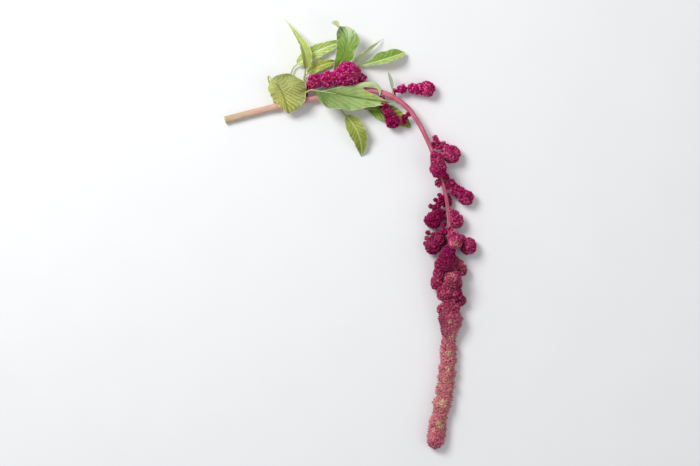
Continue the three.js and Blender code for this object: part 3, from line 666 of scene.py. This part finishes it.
def flowers_on(clusters, seed, skip=None, bristle=1.0):
    """Flowers over a group of round clusters, given as rows of centre and radius. Each cluster is covered with
    knobs 2 to 3 mm wide, and the outer side of each knob with flowers, turned, tilted and sized at random. Bristle
    makes them longer, and one in five longest of all. What lies inside another cluster or knob, where skip is
    false, or under the surface is left out. The marks say how far out a corner is, lowered as painted shade the
    further a flower turns from its knob's outward direction, and give each flower a chance, about a quarter of it
    shared by its knob."""
    rng = np.random.default_rng(seed)
    cores = clusters.copy()
    cores[:, 3] = np.maximum(0.5, cores[:, 3] - KNOB_DEPTH)
    outward, own = over_balls(cores, KNOB_SPACING, rng)
    swell = rng.normal(0, 0.2, len(own)) + 0.06 * cores[own, 3] * np.sin(3 * outward[:, 0] + 5 * outward[:, 1] + own)
    centre = cores[own, :3] + outward * (cores[own, 3] + swell)[:, None]
    keep = outside(centre, cores, own, 0.95) & (centre[:, 2] > -0.8)
    centre, outward = centre[keep], outward[keep]
    knobs = np.column_stack([centre, rng.uniform(*KNOB_RADIUS, len(centre))])
    facing, knob = over_balls(knobs, FLOWER_SPACING, rng)
    place = knobs[knob, :3] + facing * (knobs[knob, 3] + rng.normal(0, 0.1, len(knob)))[:, None]
    keep = (facing * outward[knob]).sum(axis=1) > -0.1
    keep &= place[:, 2] > 0.2
    keep &= outside(place, knobs, knob, 0.93) & outside(place, cores, None, 0.98)
    if skip is not None:
        keep &= skip(place)
    place, facing, knob = place[keep], facing[keep], knob[keep]
    facing = facing + rng.normal(0, 0.16, facing.shape)
    facing /= np.linalg.norm(facing, axis=1, keepdims=True)
    aside = np.cross(facing, rng.normal(size=facing.shape))
    aside /= np.linalg.norm(aside, axis=1, keepdims=True)
    third = np.cross(facing, aside)
    size = FLOWER_RADIUS * rng.uniform(0.8, 1.2, len(place))
    tall = rng.uniform(0.9, 1.5, len(place))
    tall = bristle * size * tall * np.where(tall > LONG_BRACT, bristle**0.55, 1)
    shape, faces, out = FLOWER
    corners = (place[:, None]
               + aside[:, None] * (size[:, None] * shape[None, :, 0])[..., None]
               + third[:, None] * (size[:, None] * shape[None, :, 1])[..., None]
               + facing[:, None] * (tall[:, None] * shape[None, :, 2])[..., None])
    corners[..., 2] = np.maximum(corners[..., 2], LEAST_HEIGHT)
    triangles = faces[None] + (np.arange(len(place)) * len(shape))[:, None, None]
    # Painted shade: depth is how straight a flower faces out from its knob, and out is lowered on the knob's sides.
    depth = (facing * outward[knob]).sum(axis=1)
    count = len(shape)
    marks = dict(
        out=(out[None] * np.clip(0.46 + 0.58 * depth, 0.15, 1)[:, None]).ravel(),
        chance=np.repeat(0.74 * rng.random(len(place)) + 0.26 * rng.random(len(knobs))[knob], count),
    )
    return corners.reshape(-1, 3), triangles.reshape(-1, 3), marks


def papery_flowers():
    """Dry amaranth flowers: papery petals with a dull surface, dark in the gaps and lighter at the points, partly their
    own colour and partly painted shade, most of all on the sides of each knob. They are crimson when fresh, with
    the pink of single open flowers, and dusty rose when faded, unevenly over 17 mm. Where seed is ripe, patches 8 mm
    wide are cream. Each flower differs in brightness, and dusk darkens a whole spike, partly as a deeper crimson and
    partly as painted shade."""
    material, tree, shader = new_material("dry papery amaranth flowers")
    out = add(tree, "Attribute", attribute_name="out").outputs["Fac"]
    chance = add(tree, "Attribute", attribute_name="chance").outputs["Fac"]
    fade = add(tree, "Attribute", attribute_name="fade").outputs["Fac"]
    dusk = add(tree, "Attribute", attribute_name="dusk").outputs["Fac"]
    place = add(tree, "TexCoord").outputs["Object"]
    fresh = add(tree, "ValToRGB", {"Fac": out}, stops=[(0.0, "#800032"), (0.4, "#b20048"), (0.7, "#c8287e"),
                                                       (1.0, "#e072b4")])
    dusty = add(tree, "ValToRGB", {"Fac": out}, stops=[(0.0, "#bc5c6e"), (0.4, "#d06c7a"), (0.7, "#e29296"),
                                                       (1.0, "#f2c0bc")])
    ripe = add(tree, "ValToRGB", {"Fac": out}, stops=[(0.0, "#ac7456"), (0.4, "#dcb088"), (1.0, "#f8ecc8")])
    wide = add(tree, "TexNoise", {"Vector": place, "Scale": 60.0, "Detail": 2.0})
    uneven = add(tree, "MapRange", {"Value": wide.outputs["Fac"], "From Min": 0.35, "From Max": 0.65,
                                    "To Min": -0.12, "To Max": 0.16})
    age = add(tree, "Math", {0: fade, 1: uneven.outputs[0]}, operation="ADD", use_clamp=True)
    opened = add(tree, "MapRange", {"Value": chance, "From Min": 0.64, "From Max": 0.8})
    lit = add(tree, "MapRange", {"Value": dusk, "From Min": -0.4, "From Max": 0.6, "To Min": 0.5, "To Max": 0.1})
    open_share = add(tree, "Math", {0: opened.outputs[0], 1: lit.outputs[0]}, operation="MULTIPLY")
    dotted = add(tree, "MixRGB", {"Fac": open_share.outputs[0], "Color1": fresh.outputs[0], "Color2": "#e67cbe"})
    aged = add(tree, "MixRGB", {"Fac": age.outputs[0], "Color1": dotted.outputs[0], "Color2": dusty.outputs[0]})
    patches = add(tree, "TexNoise", {"Vector": place, "Scale": 120.0, "Detail": 3.0, "Roughness": 0.6})
    ripeness = add(tree, "Attribute", attribute_name="ripeness").outputs["Fac"]
    over = add(tree, "Math", {0: ripeness, 1: 0.55, 2: patches.outputs["Fac"]}, operation="MULTIPLY_ADD")
    singly = add(tree, "Math", {0: chance, 1: 0.3, 2: over.outputs[0]}, operation="MULTIPLY_ADD")
    seed = add(tree, "MapRange", {"Value": singly.outputs[0], "From Min": 0.96, "From Max": 1.25, "To Max": 0.9})
    cream = add(tree, "MixRGB", {"Fac": seed.outputs[0], "Color1": aged.outputs[0], "Color2": ripe.outputs[0]})
    value = add(tree, "MapRange", {"Value": chance, "From Min": 0.1, "From Max": 0.9, "To Min": 0.56, "To Max": 1.38})
    dim = add(tree, "MapRange", {"Value": dusk, "From Min": -1.0, "To Min": 1.45, "To Max": 0.55})
    bright = add(tree, "Math", {0: value.outputs[0], 1: dim.outputs[0]}, operation="MULTIPLY")
    whole = add(tree, "HueSaturation", {"Color": cream.outputs[0], "Value": bright.outputs[0]})
    shader.inputs["Roughness"].default_value = 0.9
    shader.inputs["IOR"].default_value = 1.4
    shader.inputs["Specular IOR Level"].default_value = 0.08
    feed(tree, shader, Base_Color=whole.outputs[0])
    return material


def ripe_places(corners, spots):
    """How ripe each corner is, 0 to 1: a flat-topped bell round each spot, given as x, y and radius."""
    away = [np.hypot(corners[:, 0] - x, corners[:, 1] - y) / radius for x, y, radius in spots]
    return np.exp(-np.min(away, axis=0) ** 3) if spots else np.zeros(len(corners))


def core_of(line, radius, sides=CORE_SIDES):
    """The mass under the flowers, coloured dark as painted shade where it shows between them: a closed body about a
    line, with no flower detail.
    """
    corners, triangles, _, _ = tube(line, radius, sides)
    corners[:, 2] = np.maximum(corners[:, 2], CORE_LEAST_HEIGHT)
    return corners, triangles


flowers = papery_flowers()

# The tassel is a row of round beads that swing a little to the sides and half as much up and down.
tassel_line = smooth_line(TASSEL_POINTS, 1.0)
tassel_run = run_along(tassel_line)
_, tassel_side, tassel_up = directions(tassel_line)
rng = np.random.default_rng(7)
beads = np.arange(0, tassel_run[-1] - 2, BEAD_STEP)
index = np.round(beads / tassel_run[-1] * (len(tassel_line) - 1)).astype(int)
radius = np.interp(beads, *TASSEL_RADII) * rng.uniform(0.95, 1.05, len(beads))
swing = rng.normal(0, 0.7, (2, len(beads), 1))
centre = tassel_line[index] + swing[0] * tassel_side[index] + 0.5 * swing[1] * tassel_up[index]
clusters = np.vstack([np.column_stack([centre, radius]), np.append(tassel_line[-1], TASSEL_END_RADIUS), SHOULDERS])
flower_corners, flower_faces, marks = flowers_on(clusters, 11, bristle=BRISTLE)

# The core stays a little within the tassel's radius, and the 12th power of the way from its middle rounds its ends.
core_line = smooth_line(TASSEL_POINTS + [TASSEL_CORE_END], 1.0)
core_run = run_along(core_line)
rounded = np.sqrt(np.clip(1 - ((core_run - core_run.mean()) / (0.5 * core_run[-1])) ** 12, 0.02, 1))
within = np.minimum(TASSEL_CORE_MOST, np.interp(core_run, *TASSEL_RADII) - TASSEL_CORE_DEPTH)
core = core_of(core_line, within * rounded)
corners, triangles = joined([(flower_corners, flower_faces), core])
blank = np.zeros(len(core[0]))

# The tassel is still crimson at its foot, most of all on its left side, and most faded in the middle.
fade = np.interp(corners[:, 1], [-108, -92, -40, 0, 12, 24], [0.68, 0.92, 0.95, 0.84, 0.6, 0.42])
crimson_side = np.interp(corners[:, 0], [-7, 1], [1, 0]) * np.interp(corners[:, 1], [-14, 8], [0, 1])
fade -= 0.2 * crimson_side
grown_piece("tassel", corners, triangles, flowers, "tassel",
            # The core gets a low out mark, the dark end of the flowers' colours, as painted shade under the flowers.
            out=np.concatenate([0.15 + 0.85 * marks["out"], blank + 0.25]),
            chance=0.33 + 0.34 * np.concatenate([marks["chance"], blank]),
            fade=fade, dusk=0.75 * crimson_side, ripeness=ripe_places(corners, RIPE_SPOTS))


# Flower spikes. Short side spikes all along the trailing stem, each a chain of round clusters that grow larger
# towards the end, on a thin rose stalk. The flowers are dry and papery like the tassel's, crimson where they are
# young and dustier towards the tassel.

STEM_SKIN = 0.4
SPIKE_CORE_DEPTH = 1.4
SPIKE_STALK_RADIUS = 0.7
TWIG_RADIUS = 0.5

# foot is a spike's place on the stem. clusters are centres and radii from the foot to the end, and beside are loose
# ones that twigs hold. fade runs from crimson at 0 to dusty rose at 1, dusk is how dark the spike is, partly a deeper
# crimson and partly painted shade, and ripe lists cream spots with their radius.
SPIKES = [
    dict(foot=[-152, 254], fade=0.0, dusk=-0.1, clusters=[
        [-148, 266, 13, 4.4], [-142, 272.4, 15, 7.2], [-129.2, 274, 16, 7.6], [-119, 275.6, 17, 8],
        [-107.4, 279.4, 17, 12.6]], beside=[[-92.4, 275.6, 14, 4], [-96.4, 271, 13, 3.4]]),
    dict(foot=[-76, 262], fade=0.0, dusk=0.55, clusters=[
        [-72, 254, 11, 3], [-69.2, 247.6, 11, 4.6], [-64, 239, 10.5, 5.6], [-60, 230, 9.5, 7]]),
    dict(foot=[-60, 257], fade=0.0, dusk=-0.4, clusters=[
        [-57.2, 261.8, 10, 3.1], [-50, 264.4, 9.5, 4.4], [-39, 265, 9, 5.1], [-31, 264.4, 8.6, 5.7],
        [-23.4, 264.6, 8.4, 7.7]]),
    dict(foot=[-38, 237], fade=0.0, dusk=0.3, clusters=[
        [-43.4, 237.4, 12, 2.6], [-47.4, 234.4, 11, 3], [-48.4, 229.8, 10, 3.2]]),
    dict(foot=[-20, 203], fade=0.0, dusk=0.2, clusters=[
        [-16, 206, 13.5, 2.8], [-13.8, 208.6, 14, 3.3], [-15, 212.8, 15, 2.2]]),
    dict(foot=[-19, 201], fade=0.05, dusk=-0.1, clusters=[
        [-12, 203, 13, 3], [-7.2, 205, 12, 3.7], [-3.8, 200.6, 10.5, 4.9], [2.4, 195, 9.2, 8.9]]),
    dict(foot=[-18, 199], fade=0.0, dusk=0.2, clusters=[
        [-15.8, 194.4, 17, 4], [-13.8, 190.4, 20.4, 6], [-12.8, 184.8, 22, 7], [-12, 178.4, 22, 8.2]]),
    dict(foot=[-15, 190], fade=0.0, dusk=0.3, clusters=[[-13, 186, 7, 4.5], [-12, 181, 6, 5.4]]),
    dict(foot=[-8, 170], fade=0.0, dusk=0.3, clusters=[[-10, 168, 13, 2.6], [-11.4, 164.4, 13.5, 3.5]]),
    dict(foot=[-6, 172], fade=0.05, dusk=0.15, clusters=[
        [-3.6, 170.4, 13, 3.7], [0.8, 163.8, 12, 5.3], [6, 157.6, 10.6, 5.8], [11.6, 154.4, 9, 6],
        [18, 149.4, 8, 7.5]]),
    dict(foot=[-4, 152], fade=0.1, dusk=0.3, clusters=[[-3, 150, 8, 4.2], [-2, 145, 6, 5]]),
    dict(foot=[-3.5, 150], fade=0.0, dusk=0.65, clusters=[
        [-8.6, 149.4, 13, 2.4], [-10, 143.4, 12.4, 3.5], [-13.4, 138.2, 11.5, 4.3], [-11.8, 132.2, 10.6, 5.4],
        [-17, 125.4, 9.2, 8.4]], beside=[
            [-10.4, 151.8, 12.6, 1.7], [-14.4, 147, 12, 1.7], [-19.8, 140.6, 10.6, 1.9],
            [-4.8, 127.6, 10, 1.5], [-6.2, 134, 10.4, 1.8]]),
    dict(foot=[-1, 137], fade=0.2, dusk=0.0, clusters=[
        [2, 134.5, 12.5, 3.4], [5, 130.6, 11, 5.2], [7.8, 124.4, 9.4, 6.9]]),
    dict(foot=[0, 118], fade=0.2, dusk=-0.2, clusters=[
        [1, 115, 17, 3.6], [3, 109, 21, 5], [5.5, 102.4, 23, 6.6]], ripe=[[4.6, 101, 4]]),
    dict(foot=[0, 120], fade=0.05, dusk=0.6, clusters=[
        [-6, 113, 13, 4], [-9.6, 105, 11, 6], [-17, 98, 9.4, 8]], beside=[
            [-19.6, 104.4, 8.6, 3.8], [-22.4, 112.4, 8.6, 1.8], [-23.6, 106.6, 7.6, 1.7], [-25, 100.6, 7, 1.7],
            [-17, 110.4, 9.6, 1.8], [-12.4, 111, 11, 2], [-5.6, 120.8, 12.6, 1.8]]),
    dict(foot=[1, 114], fade=0.14, dusk=-0.05, clusters=[
        [6, 109.4, 12, 3.8], [12, 104.4, 10.6, 5.5], [20.2, 98, 9, 8.2]]),
    dict(foot=[1, 106], fade=0.2, dusk=0.3, clusters=[[1, 104, 8.5, 4], [0.5, 98, 6.4, 6]]),
    dict(foot=[1, 98], fade=0.05, dusk=0.9, clusters=[[0, 94, 17, 5.4], [-1.4, 89, 20, 7.4], [-3, 82, 21.6, 9.8]]),
    dict(foot=[1, 92], fade=0.15, dusk=0.3, clusters=[[-4, 86, 13, 5], [-8.4, 78, 13.4, 7], [-9.6, 69, 12, 7]]),
    dict(foot=[1, 88], fade=0.45, dusk=0.1, clusters=[[6, 83, 12.4, 4.2], [10, 78.6, 10.8, 5], [12.8, 72.6, 9.4, 5.9]]),
    dict(foot=[1, 80], fade=0.4, dusk=0.2, clusters=[[1, 77, 8, 4.6], [2, 71, 6.4, 6]]),
    dict(foot=[1, 74], fade=0.25, dusk=0.3, clusters=[[2, 71, 18, 5.4], [3.2, 63.6, 21, 8.4]], ripe=[[0.6, 66, 4]]),
    dict(foot=[1, 72], fade=0.2, dusk=0.15, clusters=[[-5, 66, 11, 4.6], [-12.4, 59.6, 8.4, 6.9]]),
    dict(foot=[1, 60], fade=0.25, dusk=0.2, clusters=[[-2, 55, 16, 5.4], [-5.4, 48.6, 16.4, 7.7]]),
    dict(foot=[1, 58], fade=0.18, dusk=0.3, clusters=[[4, 54.6, 14.6, 5], [6.4, 48.4, 14, 7]],
         beside=[[8.6, 58.6, 12.4, 4.8]]),
    dict(foot=[1, 52], fade=0.28, dusk=0.25, clusters=[[6, 47, 11, 4.4], [12, 40.2, 7.6, 5.6]]),
    dict(foot=[1, 44], fade=0.3, dusk=0.2, clusters=[[-0.5, 39, 15, 5.4], [-0.8, 32.4, 13.4, 8]],
         beside=[[-7, 31.4, 11, 5.6], [5, 32.4, 12, 5.8]]),
]


def clear_of_stem(places):
    """True where a flower's place is outside the stem, or less than its skin inside."""
    gaps = np.linalg.norm(places[:, None] - stem_line[None, ::4], axis=2) - stem_thickness[None, ::4]
    return gaps.min(axis=1) > -STEM_SKIN


# A spike's core is a tube about the line through its clusters and on through the last one. Its radius is that of
# the widest cluster cut there, less a depth for the flowers, and at least that of the stalk.
for k, spike in enumerate(SPIKES):
    clusters = np.array(spike["clusters"], float)
    foot = stem_line[nearest_on_stem(spike["foot"])]
    covered = np.vstack([clusters, np.reshape(spike.get("beside", []), (-1, 4))])
    flower_corners, flower_faces, marks = flowers_on(covered, 100 + k, clear_of_stem)
    line = smooth_line(np.vstack([foot, clusters[:, :3]]), 0.6)
    away = np.linalg.norm(line[:, None] - clusters[None, :, :3], axis=2)
    swell = np.sqrt(np.clip(clusters[None, :, 3] ** 2 - away**2, 0, None)).max(axis=1)
    beyond = line[-1] - line[-2]
    steps = np.arange(0.5, clusters[-1, 3] - 1, 0.5)
    line = np.vstack([line, line[-1] + beyond / np.linalg.norm(beyond) * steps[:, None]])
    swell = np.concatenate([swell, np.sqrt(clusters[-1, 3] ** 2 - steps**2)])
    body = core_of(line, np.maximum(SPIKE_STALK_RADIUS, swell - SPIKE_CORE_DEPTH))
    for place in covered[len(clusters):]:
        nearest = clusters[np.linalg.norm(clusters[:, :3] - place[:3], axis=1).argmin(), :3]
        way = smooth_line([nearest, 0.5 * (nearest + place[:3]), place[:3]], 1.0)
        body = joined([body, core_of(way, np.full(len(way), TWIG_RADIUS), 6)])
    corners, triangles = joined([(flower_corners, flower_faces), body])
    blank = np.zeros(len(body[0]))
    ripeness = ripe_places(corners, spike.get("ripe", []))
    grown_piece(f"spike_{k + 1:02d}", corners, triangles, flowers, "spike",
                # The core and twigs get a low out mark, the dark end of the flowers' colours, as painted shade under
                # the flowers.
                out=np.concatenate([marks["out"], blank + 0.2]), chance=np.concatenate([marks["chance"], blank]),
                fade=spike["fade"] + (1 - spike["fade"]) * ripeness, dusk=np.full(len(corners), spike["dusk"]),
                ripeness=ripeness)


# Surface, light and camera. The seed head lies on a plain pale matt surface under large soft lamps, and the
# camera looks straight down on it, with the photograph's up along +Y.

SURFACE_SIDE = 40.0
CAMERA_HEIGHT = 1.76


def pale_surface():
    """Matt painted board: almost white, with a faint unevenness 60 mm wide."""
    material, tree, shader = new_material("matt painted board")
    place = add(tree, "TexCoord").outputs["Object"]
    cloud = add(tree, "TexNoise", {"Vector": place, "Scale": 16.0, "Detail": 2.0})
    tone = add(tree, "ValToRGB", {"Fac": cloud.outputs["Fac"]}, stops=[(0.0, "#e9eaeb"), (1.0, "#eeeeef")])
    shader.inputs["Roughness"].default_value = 0.9
    shader.inputs["Specular IOR Level"].default_value = 0.1
    feed(tree, shader, Base_Color=tone.outputs[0])
    return material


half = SURFACE_SIDE / 2
board = bpy.data.meshes.new("surface")
board.from_pydata([(-half, -half, 0), (half, -half, 0), (half, half, 0), (-half, half, 0)], [], [(0, 1, 2, 3)])
board.materials.append(pale_surface())
surface = bpy.data.objects.new("surface", board)
bpy.context.scene.collection.objects.link(surface)

world = bpy.data.worlds.new("studio")
world.use_nodes = True
sky = world.node_tree.nodes["Background"]
sky.inputs["Color"].default_value = linear("#f4f6f9")
sky.inputs["Strength"].default_value = 0.46
bpy.context.scene.world = world
bpy.context.scene.view_settings.view_transform = "Standard"


def lamp(name, place, target, side, power, colour):
    """A square soft lamp that faces a target. Places and its side are in metres, and its power is in watts."""
    light = bpy.data.lights.new(name, "AREA")
    light.shape = "SQUARE"
    light.size = side
    light.energy = power
    light.color = linear(colour)[:3]
    holder = bpy.data.objects.new(name, light)
    bpy.context.scene.collection.objects.link(holder)
    holder.location = place
    facing = np.array(target) - np.array(place)
    holder.rotation_euler = Vector(facing).to_track_quat("-Z", "Y").to_euler()


middle = (-0.105, 0.112, 0.0)
lamp("key", (-0.9, 0.9, 1.3), middle, 0.7, 23.5, "#ffffff")
lamp("fill", (1.1, -0.3, 1.2), middle, 1.2, 3.7, "#fdfbf8")

camera = bpy.data.cameras.new("camera")
camera.lens = 85
camera.sensor_width = 36
eye = bpy.data.objects.new("camera", camera)
bpy.context.scene.collection.objects.link(eye)
eye.location = (middle[0], middle[1], CAMERA_HEIGHT)
bpy.context.scene.camera = eye
